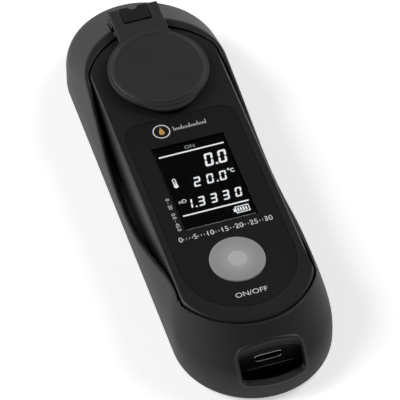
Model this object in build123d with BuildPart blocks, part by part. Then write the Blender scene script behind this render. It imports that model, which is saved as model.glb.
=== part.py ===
from build123d import *

import os
from math import radians, sin, sqrt, tan

# Handheld digital refractometer lying on its back, in millimetres.
# X runs across it, +Y towards the sample well and its hinge, +Z up out of the face.
# The origin is on the underside of the boot, halfway along it.
# Names ending in _y are places along the instrument, names ending in _z are heights.

# Overall size of the soft outer boot
boot_length = 152.4
boot_half_width = 23.75
face_z = 20.5
boot_wall = 1.2
boot_floor = 2.0
boot_roof = 1.2
base_round = 2.0

# Rim of the boot at the level of the face, and how it falls away to the walls
low_flare = 2.55
high_flare = 1.75
low_bevel = 12.2
high_bevel = 17.3
low_slope = 46.0
low_blend = 10.0
high_slope = 28.0
high_blend = 6.0
side_drop = 13.0
side_fullness = 1.6

# Scoop along both sides of the boot, seen from the side
scoop_low_setback = 20.6
scoop_high_setback = 15.15
scoop_slope = 21.0
scoop_floor_radius = 52.5
scoop_shoulder_radius = 22.0
scoop_lift = 0.02

# Hard body that sits in the boot, and the width of the boot's flat rim around its face
rim_side_width = 1.1
rim_low_width = 1.4
rim_high_width = 3.75
face_end_radius = 22.0
face_corner = 6.0
face_edge = 0.5
case_wall = 1.8
case_roof = 2.2
parting_z = 7.0
boot_fit = 0.3
lip_gap = 0.5

# Printed face panel, its display and its key
overlay_margin = 2.8
overlay_high_margin = 10.6
overlay_corner = 5.0
overlay_thickness = 0.3
panel_gap = 0.15
display_width = 22.4
display_to_button = 14.8
display_to_well = 28.5
window_thickness = 0.9
window_ledge = 0.7
lcd_depth = 1.2
lcd_thickness = 2.0
button_setback = 23.1
button_radius = 8.3
button_gap = 0.25
button_rise = 0.4
button_flange = 0.9
button_flange_thickness = 0.8
button_travel = 0.5
button_stem_radius = 1.6
button_dimple_radius = 3.0
button_dimple_depth = 0.15

# Sample well and its cover
well_setback = 18.75
well_mouth_radius = 10.7
well_floor_radius = 5.6
well_window_radius = 4.5
well_depth = 4.2
well_wall = 0.8
well_flange_width = 1.7
well_flange_thickness = 0.6
well_flange_round = 0.24
cover_overhang = 3.0
cover_lift = 1.2
cover_top = 2.9
cover_ridge_setback = 1.4
cover_ridge_width = 0.7
cover_ridge_height = 0.3
cover_round = 1.0
cover_plate = 0.8
liner_overlap = 0.3
liner_gap = 0.45
lobe_radius = 11.0
lobe_overhang = 1.5
lobe_thickness = 1.0

# Hinge at the far end of the cover
strap_half = 8.0
strap_top = 2.7
arm_width = 3.3
arm_gap = 0.3
hinge_reach = 5.55
crotch_reach = 4.2
knuckle_radius = 2.3
pin_radius = 0.75
pin_clearance = 0.05
lug_notch_half = 1.5
lug_notch_depth = 1.2
notch_gap = 0.3

# Charging socket in its recess at the near end
port_setback = 8.6
port_drop = 11.0
port_width = 8.94
port_height = 3.2
port_length = 7.3
port_skin = 0.3
port_clearance = 0.13
tongue_width = 6.7
tongue_thickness = 0.7
tongue_setback = 0.9
recess_half = 9.2
recess_setback = 7.8
recess_drop = 12.5
recess_corner = 1.8
recess_bead = 1.1
recess_bead_height = 0.4
pocket_margin = 0.6
step_out = 1.4

# Boards, cell and screws
board_thickness = 1.2
main_board_side_gap = 1.8
main_board_low_reach = 10.5
main_board_high_setback = 0.5
main_board_z = 11.3
charge_board_half = 9.3
charge_board_reach = 16.6
cell_side_setback = 4.5
cell_low_reach = 4.5
cell_high_setback = 6.0
cell_height = 6.2
pad_thickness = 0.3
switch_size = 6.2
switch_height = 2.4
plunger_radius = 1.5
plunger_height = 0.8
screw_radius = 1.0
screw_head_radius = 1.9
screw_head_height = 1.2
boss_radius = 2.5
boss_gap = 1.3
case_screw_low_reach = 13.6
case_screw_side_setback = 8.0
case_screw_high_setback = 0.2
main_screw_setback = (2.0, 4.0)
charge_screw_x = 6.5
charge_screw_setback = 3.0
case_screw_grip = 5.0
screw_tip_gap = 0.3
seal_width = 0.7
seal_height = 0.8

# Optical block under the well
block_half = 11.5
block_low_reach = 12.4
block_high_reach = 12.1
block_drop = 6.3
block_screw_x = 8.0
prism_half = 6.0
prism_top_half = 7.0
prism_height = 5.0
prism_side_angle = 30.0
prism_seal_thickness = 0.3
prism_clearance = 0.1
tunnel_radius = 2.2
tunnel_z = 11.6
lens_radius = 2.1
lens_thickness = 1.6
lens_bulge = 0.5
lens_setback = 4.8
light_board_half = 8.0
light_board_height = 8.4
light_board_thickness = 1.0
lamp_radius = 1.5
lamp_length = 2.4
line_sensor_half = 5.0
line_sensor_height = 2.6
line_sensor_thickness = 0.8
probe_size = 2.0
probe_height = 1.5
probe_x = 8.0

# Worked out from the sizes above
boot_low_y = -boot_length / 2
boot_high_y = boot_length / 2
rim_low_half = boot_half_width - low_flare
rim_high_half = boot_half_width - high_flare
rim_low_y = boot_low_y + low_bevel
rim_high_y = boot_high_y - high_bevel
face_half = rim_low_half - rim_side_width
face_low_y = rim_low_y + rim_low_width
face_high_y = rim_high_y - rim_high_width
button_y = face_low_y + button_setback
well_y = face_high_y - well_setback
hinge_y = face_high_y + hinge_reach
crotch_y = hinge_y - crotch_reach
port_y = boot_low_y + port_setback
recess_top_y = boot_low_y + recess_setback
well_flange_radius = well_mouth_radius + well_flange_width
cover_radius = well_flange_radius + cover_overhang
cover_ridge_radius = cover_radius - cover_ridge_setback
liner_radius = well_flange_radius + liner_overlap
lobe_reach = cover_radius + lobe_overhang
display_low_y = button_y + display_to_button
display_high_y = well_y - display_to_well
display_y = (display_low_y + display_high_y) / 2
display_length = display_high_y - display_low_y
overlay_half = face_half - overlay_margin
overlay_high_y = display_high_y + overlay_high_margin
scoop_low_y = face_low_y + scoop_low_setback
scoop_high_y = face_high_y - scoop_high_setback
main_board_half = face_half - case_wall - main_board_side_gap
main_board_low_y = button_y - main_board_low_reach
main_board_high_y = overlay_high_y - main_board_high_setback
charge_board_high_y = port_y + charge_board_reach
cell_half = main_board_half - cell_side_setback
cell_low_y = button_y - cell_low_reach
cell_high_y = main_board_high_y - cell_high_setback
block_low_y = well_y - block_low_reach
block_high_y = well_y + block_high_reach
case_inset = boot_wall + boot_fit
case_roof_drop = boot_roof + boot_fit
case_floor_z = boot_floor + case_wall
port_z = face_z - port_drop
charge_board_z = port_z - port_height / 2 - board_thickness
overlay_low_centre_y = button_y
well_floor_z = face_z - well_depth
prism_top_z = well_floor_z - well_wall - prism_seal_thickness
block_top_z = face_z - block_drop
hinge_z = face_z + strap_top - knuckle_radius
arm_half = strap_half - arm_width
lug_half = arm_half - arm_gap
plunger_top_z = main_board_z + board_thickness + switch_height + plunger_height
lcd_half = display_width / 2 - window_ledge
lcd_half_length = display_length / 2 - window_ledge
lcd_top_z = face_z - lcd_depth
lcd_bottom_z = lcd_top_z - lcd_thickness
button_flange_z = face_z - case_roof - button_gap - button_flange_thickness
well_bottom_z = well_floor_z - well_wall
seal_low_z = parting_z - seal_height
case_screw_seat_z = boot_floor + screw_head_height
shallow_depth = 1e-6
section_steps = (shallow_depth, 2.5, 5.0, 7.5, 10.0, 13.0, 16.5)
main_screw_x = main_board_half - main_screw_setback[0]
main_screw_low_y = main_board_low_y + main_screw_setback[1]
main_screw_high_y = main_board_high_y - main_screw_setback[1]
main_screw_rows = (main_screw_low_y, main_screw_high_y)
main_boss_spots = [(side * main_screw_x, y) for side in (-1, 1) for y in main_screw_rows]
case_screw_low = (charge_board_half + boss_radius + boss_gap, port_y + case_screw_low_reach)
case_screw_high = (rim_high_half - case_screw_side_setback, hinge_y - case_screw_high_setback)
case_boss_spots = [(side * x, y) for side in (-1, 1) for x, y in (case_screw_low, case_screw_high)]
block_screw_spots = [(side * block_screw_x, well_y + block_screw_x) for side in (-1, 1)]
charge_screw_y = charge_board_high_y - charge_screw_setback
charge_post_spots = [(side * charge_screw_x, charge_screw_y) for side in (-1, 1)]


def bevel_run(depth, reach, slope, blend):
    """How far a bevel has run out at a depth, with a round that turns it down into a wall."""
    tangent = blend * tan(radians((90 - slope) / 2))
    corner_depth = reach * tan(radians(slope))
    round_start = corner_depth - tangent * sin(radians(slope))
    round_end = corner_depth + tangent
    if depth <= round_start:
        return depth / tan(radians(slope))
    if depth >= round_end:
        return reach
    return reach - blend + sqrt(blend**2 - (round_end - depth) ** 2)


def capsule(height, half_widths, ends, radii, corner=0.0):
    """Long outline with an arc at each end; each pair is for the low end and the high end."""
    low_half, high_half = half_widths
    low_end, high_end = ends
    low_radius, high_radius = radii
    low_corner = low_end + low_radius - sqrt(max(0, low_radius**2 - low_half**2))
    high_corner = high_end - high_radius + sqrt(max(0, high_radius**2 - high_half**2))
    with BuildSketch(Plane.XY.offset(height)) as outline:
        with BuildLine():
            Line((low_half, low_corner), (high_half, high_corner))
            ThreePointArc((high_half, high_corner), (0, high_end), (-high_half, high_corner))
            Line((-high_half, high_corner), (-low_half, low_corner))
            ThreePointArc((-low_half, low_corner), (0, low_end), (low_half, low_corner))
        make_face()
        if corner:
            fillet(outline.vertices(), corner)
    return outline.sketch


def boot_section(height, depth, inset):
    """Outline of the boot's outside at a depth under the face, moved in by an inset."""
    fall = 1 - (1 - min(depth, side_drop) / side_drop) ** side_fullness
    low_half = rim_low_half + (boot_half_width - rim_low_half) * fall - inset
    high_half = rim_high_half + (boot_half_width - rim_high_half) * fall - inset
    low_run = bevel_run(depth, rim_low_y - boot_low_y, low_slope, low_blend)
    high_run = bevel_run(depth, boot_high_y - rim_high_y, high_slope, high_blend)
    ends = (rim_low_y - low_run + inset, rim_high_y + high_run - inset)
    return capsule(height, (low_half, high_half), ends, (low_half, high_half))


def boot_form(inset, drop, bottom):
    """Solid with the boot's outside shape, moved in by an inset and down by a drop."""
    top = face_z - drop
    depths = [depth for depth in section_steps if top - depth > bottom + base_round / 2]
    with BuildPart() as form:
        loft([boot_section(top - depth, depth, inset) for depth in depths])
        extrude(boot_section(bottom, depths[-1], inset), amount=top - depths[-1] - bottom)
    return form.part


def face_outline(height, grow=0.0):
    """Outline of the hard body's face, with soft corners."""
    half = face_half + grow
    ends = (face_low_y - grow, face_high_y + grow)
    radius = face_end_radius + grow
    return capsule(height, (half, half), ends, (radius, radius), face_corner)


def overlay_outline(height, grow=0.0):
    """Outline of the face panel: square at the well end, round about the key."""
    half = overlay_half + grow
    with BuildSketch(Plane.XY.offset(height)) as outline:
        with BuildLine():
            Polyline(
                (half, overlay_low_centre_y),
                (half, overlay_high_y + grow),
                (-half, overlay_high_y + grow),
                (-half, overlay_low_centre_y),
            )
            ThreePointArc(
                (-half, overlay_low_centre_y),
                (0, overlay_low_centre_y - half),
                (half, overlay_low_centre_y),
            )
        make_face()
        fillet(outline.vertices().group_by(Axis.Y)[-1], overlay_corner)
    return outline.sketch


def block(low, high, mode=Mode.ADD):
    """Adds a box between two corners to the part in progress, or cuts it out."""
    centre = [(a + b) / 2 for a, b in zip(low, high)]
    size = [b - a for a, b in zip(low, high)]
    with Locations(tuple(centre)):
        Box(*size, mode=mode)


def post(spot, radius, low_z, high_z, mode=Mode.ADD):
    """Adds an upright round post to the part in progress, or cuts a hole."""
    with Locations((spot[0], spot[1], (low_z + high_z) / 2)):
        Cylinder(radius, high_z - low_z, mode=mode)


def screw(spot, head_z, length, up=1):
    """Adds a pan-head screw; up is 1 for a shank above its head and -1 for one below."""
    x, y = spot
    for radius, reach in ((screw_head_radius, screw_head_height), (screw_radius, length)):
        post(spot, radius, min(head_z, head_z + up * reach), max(head_z, head_z + up * reach))
    slot = screw_head_radius / 2
    for half_x, half_y in ((slot, slot / 4), (slot / 4, slot)):
        low = (x - half_x, y - half_y, head_z - slot / 2)
        high = (x + half_x, y + half_y, head_z + slot / 2)
        block(low, high, Mode.SUBTRACT)


def save(piece, label):
    """Names a finished piece and writes it to its own file."""
    piece.part.label = label
    export_step(piece.part, f"parts/{label}.step")


os.makedirs("parts", exist_ok=True)

# Shared forms: the boot's outside, its hollow, the hard case and the case's hollow
boot_outside = boot_form(0, 0, 0)
boot_hollow = boot_form(boot_wall, boot_roof, boot_floor)
case_outside = boot_form(case_inset, case_roof_drop, boot_floor)
case_hollow = boot_form(case_inset + case_wall, case_roof_drop + case_wall, case_floor_z)
bead_outside = boot_form(-recess_bead_height, -recess_bead_height, 0)
far = boot_length

# Scoop profile: a low point between two even slopes, with rounded shoulders that leave the
# rim a hair above the face
shoulder_z = face_z + scoop_lift
scoop_half = (scoop_high_y - scoop_low_y) / 2
scoop_middle_y = (scoop_high_y + scoop_low_y) / 2
scoop_corner_depth = scoop_half * tan(radians(scoop_slope))

# Space of the socket's window, and the raised bead round it
with BuildPart() as recess:
    block(
        (-recess_half, recess_top_y - far, face_z - recess_drop),
        (recess_half, recess_top_y, face_z + far),
    )
    fillet(recess.edges().filter_by(Axis.Z).group_by(Axis.Y)[-1], recess_corner)
    fillet(recess.edges().filter_by(Axis.Y).group_by(Axis.Z)[0], recess_corner)

with BuildPart() as recess_rim:
    block(
        (-recess_half - recess_bead, recess_top_y - far, face_z - recess_drop - recess_bead),
        (recess_half + recess_bead, recess_top_y + recess_bead, face_z + far),
    )
    fillet(recess_rim.edges().filter_by(Axis.Z).group_by(Axis.Y)[-1], recess_corner + recess_bead)
    fillet(recess_rim.edges().filter_by(Axis.Y).group_by(Axis.Z)[0], recess_corner + recess_bead)
    add(bead_outside, mode=Mode.INTERSECT)

# Soft outer boot: walls that dip in a scoop on both sides, a rim round the face,
# a notch for the cover's strap and a beaded window over the charging socket
with BuildPart() as rubber_boot:
    add(boot_outside)
    fillet(rubber_boot.edges().group_by(Axis.Z)[0], base_round)
    add(recess_rim.part)
    add(boot_hollow, mode=Mode.SUBTRACT)
    extrude(face_outline(boot_floor, lip_gap), amount=face_z, mode=Mode.SUBTRACT)
    with BuildSketch(Plane.YZ.offset(-far)):
        with BuildLine():
            FilletPolyline(
                (scoop_low_y - scoop_half, shoulder_z),
                (scoop_low_y, shoulder_z),
                (scoop_middle_y, face_z - scoop_corner_depth),
                (scoop_high_y, shoulder_z),
                (scoop_high_y + scoop_half, shoulder_z),
                radius=(scoop_shoulder_radius, scoop_floor_radius, scoop_shoulder_radius),
            )
            Polyline(
                (scoop_high_y + scoop_half, shoulder_z),
                (scoop_high_y + scoop_half, 2 * face_z),
                (scoop_low_y - scoop_half, 2 * face_z),
                (scoop_low_y - scoop_half, shoulder_z),
            )
        make_face()
    extrude(amount=2 * far, mode=Mode.SUBTRACT)
    block(
        (-strap_half - notch_gap, face_high_y - face_end_radius, face_z - 3 * knuckle_radius),
        (strap_half + notch_gap, hinge_y + knuckle_radius + 2 * notch_gap, face_z + far),
        Mode.SUBTRACT,
    )
    add(recess.part, mode=Mode.SUBTRACT)
save(rubber_boot, "rubber_boot")

# Hollow of the hard case, less the posts and bosses that stand in it
end_zone_low_y = scoop_low_y - panel_gap
end_zone_high_y = scoop_high_y + panel_gap
pocket_half = recess_half + pocket_margin
pocket_wall_y = port_y + case_wall
lower_front_y = port_y - step_out

with BuildPart() as upper_hollow:
    add(case_hollow)
    block((-far, end_zone_low_y, 0), (far, end_zone_high_y, far), Mode.SUBTRACT)
    extrude(face_outline(parting_z, -case_wall), amount=face_z - case_roof - parting_z)
    block((-far, -far, 0), (far, far, parting_z), Mode.SUBTRACT)
    block((-far, -far, 0), (far, pocket_wall_y, far), Mode.SUBTRACT)
    for spot in case_boss_spots:
        post(spot, boss_radius, 0, far, Mode.SUBTRACT)
    for spot in main_boss_spots:
        post(spot, boss_radius, main_board_z + board_thickness, far, Mode.SUBTRACT)

# Space in front of the socket, where the case is cut flat: the lower half stands further out
with BuildPart() as socket_pocket:
    block((-pocket_half, -far, parting_z), (pocket_half, port_y, far))
    block((-pocket_half, -far, 0), (pocket_half, lower_front_y, parting_z))


def port_slot(y, width, height):
    """Slot outline with round ends, facing along the instrument."""
    with BuildSketch(Plane.XZ.offset(-y)) as slot:
        with Locations((0, port_z)):
            SlotOverall(width, height)
    return slot.sketch


# Hinge lug seen from the side: inside the circle that the cover's strap swings round
with BuildPart() as hinge_lug:
    with BuildSketch(Plane.YZ.offset(-lug_half)):
        with Locations((hinge_y, hinge_z)):
            Circle(hinge_y - crotch_y - arm_gap)
            Rectangle(2 * far, 2 * knuckle_radius - arm_gap, mode=Mode.INTERSECT)
        with Locations((hinge_y, hinge_z - arm_gap / 2)):
            Rectangle(
                2 * knuckle_radius,
                2 * knuckle_radius + case_roof_drop,
                align=(Align.CENTER, Align.MAX),
            )
        with Locations((hinge_y + knuckle_radius, hinge_z)):
            Rectangle(far, 4 * far, align=(Align.MIN, Align.CENTER), mode=Mode.SUBTRACT)
    extrude(amount=2 * lug_half)
    with BuildSketch(Plane.XY.offset(face_z - far)):
        with Locations((0, hinge_y + knuckle_radius)):
            Ellipse(lug_notch_half, lug_notch_depth)
    extrude(amount=2 * far, mode=Mode.SUBTRACT)
    with Locations(Location((0, hinge_y, hinge_z), (0, 90, 0))):
        Cylinder(pin_radius, 2 * lug_half, mode=Mode.SUBTRACT)

# Upper half of the hard case: the raised face, the shoulders under the boot's ends,
# the openings for well, display, key and socket, and the lug of the cover's hinge
with BuildPart() as upper_case:
    add(case_outside)
    block((-far, -far, 0), (far, far, parting_z), Mode.SUBTRACT)
    block((-far, end_zone_low_y, 0), (far, end_zone_high_y, far), Mode.SUBTRACT)
    extrude(face_outline(parting_z), amount=face_z - parting_z)
    chamfer(upper_case.edges().group_by(Axis.Z)[-1], face_edge)
    add(upper_hollow.part, mode=Mode.SUBTRACT)
    add(socket_pocket.part, mode=Mode.SUBTRACT)
    extrude(
        port_slot(port_y, port_width + 2 * port_clearance, port_height + 2 * port_clearance),
        amount=-2 * case_wall,
        mode=Mode.SUBTRACT,
    )
    extrude(
        overlay_outline(face_z - overlay_thickness, panel_gap), amount=far, mode=Mode.SUBTRACT
    )
    block(
        (
            -display_width / 2 - panel_gap,
            display_y - display_length / 2 - panel_gap,
            face_z - window_thickness,
        ),
        (display_width / 2 + panel_gap, display_y + display_length / 2 + panel_gap, far),
        Mode.SUBTRACT,
    )
    block(
        (-lcd_half - panel_gap, display_y - lcd_half_length - panel_gap, parting_z),
        (lcd_half + panel_gap, display_y + lcd_half_length + panel_gap, far),
        Mode.SUBTRACT,
    )
    post((0, button_y), button_radius + button_gap, parting_z, far, Mode.SUBTRACT)
    post((0, well_y), well_mouth_radius + well_wall, parting_z, far, Mode.SUBTRACT)
    for spot in case_boss_spots:
        post(spot, screw_radius + pin_clearance, 0, parting_z + case_screw_grip, Mode.SUBTRACT)
    for spot in main_boss_spots:
        post(spot, screw_radius + pin_clearance, 0, face_z - case_roof, Mode.SUBTRACT)
    add(hinge_lug.part)
save(upper_case, "upper_case")

# Ring groove between the case halves: it follows their outline and passes behind the socket
with BuildPart() as seal_path:
    with BuildSketch(Plane.XY.offset(seal_low_z)) as seal_outline:
        add(boot_section(seal_low_z, section_steps[-2], case_inset + case_wall / 2))
        with Locations((0, lower_front_y + case_wall / 2)):
            Rectangle(far, far, align=(Align.CENTER, Align.MAX), mode=Mode.SUBTRACT)
        offset(amount=seal_width / 2)
        offset(amount=-seal_width, mode=Mode.SUBTRACT)
    extrude(amount=seal_height)
save(seal_path, "case_seal")

# Hollow of the lower half, less the screw bosses and the posts under the socket's board
with BuildPart() as lower_hollow:
    add(case_hollow)
    block((-far, -far, 0), (far, lower_front_y + case_wall, far), Mode.SUBTRACT)
    block((-far, -far, parting_z), (far, far, far), Mode.SUBTRACT)
    for spot in case_boss_spots:
        post(spot, boss_radius, 0, far, Mode.SUBTRACT)
    for spot in charge_post_spots:
        post(spot, boss_radius, 0, charge_board_z, Mode.SUBTRACT)

# Lower half of the hard case: a tray with counterbored screw holes and a groove for the seal
with BuildPart() as lower_case:
    add(case_outside)
    block((-far, -far, parting_z), (far, far, far), Mode.SUBTRACT)
    add(lower_hollow.part, mode=Mode.SUBTRACT)
    add(socket_pocket.part, mode=Mode.SUBTRACT)
    for spot in case_boss_spots + block_screw_spots:
        post(spot, screw_radius + pin_clearance, 0, far, Mode.SUBTRACT)
        post(spot, screw_head_radius + pin_clearance, 0, case_screw_seat_z, Mode.SUBTRACT)
    for spot in charge_post_spots:
        post(spot, screw_radius + pin_clearance, case_floor_z, far, Mode.SUBTRACT)
    add(seal_path.part, mode=Mode.SUBTRACT)
save(lower_case, "lower_case")

# Screws that close the case from below
with BuildPart() as case_screws:
    for spot in case_boss_spots:
        screw(spot, boot_floor, parting_z - boot_floor + case_screw_grip - screw_tip_gap)
save(case_screws, "case_screws")

# Face panel: a thin film with openings for the display and the key
with BuildPart() as face_overlay:
    extrude(overlay_outline(face_z - overlay_thickness), amount=overlay_thickness)
    with Locations((0, display_y, face_z)):
        Box(
            display_width + 2 * panel_gap,
            display_length + 2 * panel_gap,
            2 * case_roof,
            mode=Mode.SUBTRACT,
        )
    post((0, button_y), button_radius + button_gap, 0, far, Mode.SUBTRACT)
save(face_overlay, "face_overlay")

# Display: hard window over the panel, the panel itself and the tray that holds it
with BuildPart() as display_window:
    with Locations((0, display_y, face_z - window_thickness / 2)):
        Box(display_width, display_length, window_thickness)
    chamfer(display_window.edges().group_by(Axis.Z)[-1], panel_gap)
save(display_window, "display_window")

with BuildPart() as lcd_panel:
    with Locations((0, display_y, lcd_top_z - lcd_thickness / 2)):
        Box(2 * lcd_half, 2 * lcd_half_length, lcd_thickness)
save(lcd_panel, "lcd_panel")

with BuildPart() as backlight_tray:
    tray_bottom_z = main_board_z + board_thickness
    with Locations((0, display_y, (tray_bottom_z + lcd_bottom_z) / 2)):
        Box(2 * lcd_half, 2 * lcd_half_length, lcd_bottom_z - tray_bottom_z)
    with Locations((0, display_y, lcd_bottom_z)):
        Box(
            2 * (lcd_half - window_thickness),
            2 * (lcd_half_length - window_thickness),
            window_thickness,
            mode=Mode.SUBTRACT,
        )
save(backlight_tray, "backlight_tray")

# Key: a round cap with a shallow dimple, a flange that keeps it in and a stem down to its switch
with BuildPart() as power_button:
    post((0, button_y), button_radius, button_flange_z, face_z + button_rise)
    fillet(power_button.edges().group_by(Axis.Z)[-1], button_rise)
    post(
        (0, button_y),
        button_radius + button_flange,
        button_flange_z,
        button_flange_z + button_flange_thickness,
    )
    post(
        (0, button_y),
        button_stem_radius,
        plunger_top_z + button_travel + button_gap,
        button_flange_z,
    )
    post(
        (0, button_y),
        button_dimple_radius,
        face_z + button_rise - button_dimple_depth,
        far,
        Mode.SUBTRACT,
    )
save(power_button, "power_button")

with BuildPart() as tact_switch:
    switch_z = main_board_z + board_thickness
    with Locations((0, button_y, switch_z + switch_height / 2)):
        Box(switch_size, switch_size, switch_height)
    post((0, button_y), plunger_radius, switch_z, plunger_top_z)
save(tact_switch, "tact_switch")

# Boards and cell
with BuildPart() as main_board:
    block(
        (-main_board_half, main_board_low_y, main_board_z),
        (main_board_half, main_board_high_y, main_board_z + board_thickness),
    )
    fillet(main_board.edges().filter_by(Axis.Z), 2 * board_thickness)
    for spot in main_boss_spots:
        post(spot, screw_radius + pin_clearance, 0, far, Mode.SUBTRACT)
save(main_board, "main_board")

with BuildPart() as board_screws:
    for spot in main_boss_spots:
        screw(
            spot,
            main_board_z - screw_head_height,
            face_z - case_roof - main_board_z + screw_head_height - screw_tip_gap,
        )
save(board_screws, "board_screws")

with BuildPart() as charge_board:
    block(
        (-charge_board_half, port_y + case_wall + boot_fit, charge_board_z),
        (charge_board_half, charge_board_high_y, charge_board_z + board_thickness),
    )
    for spot in charge_post_spots:
        post(spot, screw_radius + pin_clearance, 0, far, Mode.SUBTRACT)
save(charge_board, "charge_board")

with BuildPart() as charge_board_screws:
    for spot in charge_post_spots:
        top = charge_board_z + board_thickness + screw_head_height
        screw(spot, top, top - case_floor_z, -1)
save(charge_board_screws, "charge_board_screws")

# Socket: a folded steel shell and the tongue that carries its contacts
with BuildPart() as usb_shell:
    extrude(port_slot(port_y, port_width, port_height), amount=-port_length)
    extrude(
        port_slot(port_y, port_width - 2 * port_skin, port_height - 2 * port_skin),
        amount=-port_length + port_skin,
        mode=Mode.SUBTRACT,
    )
save(usb_shell, "usb_shell")

with BuildPart() as usb_tongue:
    tongue_end_y = port_y + port_length - port_skin
    with Locations((0, tongue_end_y, port_z)):
        Box(
            tongue_width,
            port_length - port_skin - tongue_setback,
            tongue_thickness,
            align=(Align.CENTER, Align.MAX, Align.CENTER),
        )
    chamfer(usb_tongue.edges().group_by(Axis.Y)[0], tongue_thickness / 4)
save(usb_tongue, "usb_tongue")

with BuildPart() as battery_cell:
    cell_z = case_floor_z + pad_thickness
    block((-cell_half, cell_low_y, cell_z), (cell_half, cell_high_y, cell_z + cell_height))
    fillet(battery_cell.edges().filter_by(Axis.Y), cell_height / 4)
save(battery_cell, "battery_cell")

with BuildPart() as battery_pad:
    block(
        (-cell_half + cell_height / 4, cell_low_y + cell_height / 4, case_floor_z),
        (cell_half - cell_height / 4, cell_high_y - cell_height / 4, cell_z),
    )
save(battery_pad, "battery_pad")

# Sample well: a turned steel dish whose floor opens onto the prism
with BuildPart() as sample_well:
    with BuildSketch(Plane.XZ.offset(-well_y)):
        with BuildLine():
            Polyline(
                (well_window_radius, well_bottom_z),
                (well_window_radius, well_floor_z),
                (well_floor_radius, well_floor_z),
                (well_mouth_radius, face_z),
                (well_mouth_radius, face_z + well_flange_thickness),
                (well_flange_radius, face_z + well_flange_thickness),
                (well_flange_radius, face_z),
                (well_mouth_radius + well_wall, face_z),
                (well_mouth_radius + well_wall, face_z - well_wall),
                (well_floor_radius + well_wall, well_bottom_z),
                (well_window_radius, well_bottom_z),
            )
        make_face()
    revolve(axis=Axis((0, well_y, 0), (0, 0, 1)))
    rims = sample_well.edges().filter_by(GeomType.CIRCLE).group_by(Axis.Z)[-1]
    fillet(rims, well_flange_round)
save(sample_well, "sample_well")

with BuildPart() as prism_seal:
    post((0, well_y), prism_half, prism_top_z, well_bottom_z)
    post((0, well_y), well_window_radius + pin_clearance, 0, far, Mode.SUBTRACT)
save(prism_seal, "prism_seal")


def prism_side(grow):
    """Side of the prism: flat top, sloping ends."""
    top_half = prism_top_half + grow
    low_half = top_half - prism_height * tan(radians(prism_side_angle))
    with BuildSketch(Plane.YZ.offset(-prism_half - grow)) as side:
        with BuildLine():
            Polyline(
                (well_y - top_half, prism_top_z),
                (well_y + top_half, prism_top_z),
                (well_y + low_half, prism_top_z - prism_height - grow),
                (well_y - low_half, prism_top_z - prism_height - grow),
                (well_y - top_half, prism_top_z),
            )
        make_face()
    return side.sketch


with BuildPart() as prism:
    extrude(prism_side(0), amount=2 * prism_half)
save(prism, "prism")

# Optical block: carries the prism and has a light tunnel from each end to its sloping faces
with BuildPart() as optics_block:
    block(
        (-block_half, block_low_y, case_floor_z),
        (block_half, block_high_y, block_top_z),
    )
    extrude(
        prism_side(prism_clearance), amount=2 * (prism_half + prism_clearance), mode=Mode.SUBTRACT
    )
    with BuildSketch(Plane.XZ.offset(-block_low_y)):
        with Locations((0, tunnel_z)):
            Circle(tunnel_radius)
    extrude(amount=block_low_y - block_high_y, mode=Mode.SUBTRACT)
    for spot in block_screw_spots:
        post(spot, screw_radius + pin_clearance, 0, case_floor_z + case_screw_grip, Mode.SUBTRACT)
    fillet(optics_block.edges().filter_by(Axis.Z).group_by(Axis.X)[0], base_round)
    fillet(optics_block.edges().filter_by(Axis.Z).group_by(Axis.X)[-1], base_round)
save(optics_block, "optics_block")

with BuildPart() as optics_screws:
    for spot in block_screw_spots:
        screw(spot, boot_floor, case_floor_z - boot_floor + case_screw_grip - screw_tip_gap)
save(optics_screws, "optics_screws")

# Lens in the tunnel on the sensor's side: both its faces bulge out to a named height
with BuildPart() as focus_lens:
    lens_y = block_low_y + lens_setback
    ball_radius = (lens_radius**2 + lens_bulge**2) / (2 * lens_bulge)
    with BuildSketch(Plane.YZ):
        with Locations((lens_y + lens_thickness / 2 - ball_radius, tunnel_z)):
            Circle(ball_radius)
        with Locations((lens_y - lens_thickness / 2 + ball_radius, tunnel_z)):
            Circle(ball_radius, mode=Mode.INTERSECT)
        with Locations((lens_y, tunnel_z)):
            Rectangle(
                lens_thickness,
                lens_radius,
                align=(Align.CENTER, Align.MIN),
                mode=Mode.INTERSECT,
            )
    revolve(axis=Axis((0, 0, tunnel_z), (0, 1, 0)))
save(focus_lens, "focus_lens")

# Light source on the hinge side of the block, line sensor on the display side
with BuildPart() as light_board:
    block(
        (-light_board_half, block_high_y, tunnel_z - light_board_height / 2),
        (light_board_half, block_high_y + light_board_thickness, tunnel_z + light_board_height / 2),
    )
save(light_board, "light_board")

with BuildPart() as lamp:
    with BuildSketch(Plane.XZ.offset(-block_high_y)):
        with Locations((0, tunnel_z)):
            Circle(lamp_radius)
    extrude(amount=lamp_length)
    fillet(lamp.edges().group_by(Axis.Y)[0], lamp_radius / 2)
save(lamp, "lamp")

with BuildPart() as sensor_board:
    block(
        (
            -light_board_half,
            block_low_y - light_board_thickness - line_sensor_thickness,
            tunnel_z - light_board_height / 2,
        ),
        (light_board_half, block_low_y - line_sensor_thickness, tunnel_z + light_board_height / 2),
    )
save(sensor_board, "sensor_board")

with BuildPart() as line_sensor:
    block(
        (-line_sensor_half, block_low_y - line_sensor_thickness, tunnel_z - line_sensor_height),
        (line_sensor_half, block_low_y, tunnel_z + line_sensor_height),
    )
save(line_sensor, "line_sensor")

# Thermometer chip that touches the underside of the dish
with BuildPart() as temperature_probe:
    block(
        (probe_x - probe_size / 2, well_y - probe_size / 2, block_top_z),
        (probe_x + probe_size / 2, well_y + probe_size / 2, block_top_z + probe_height),
    )
save(temperature_probe, "temperature_probe")

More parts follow.
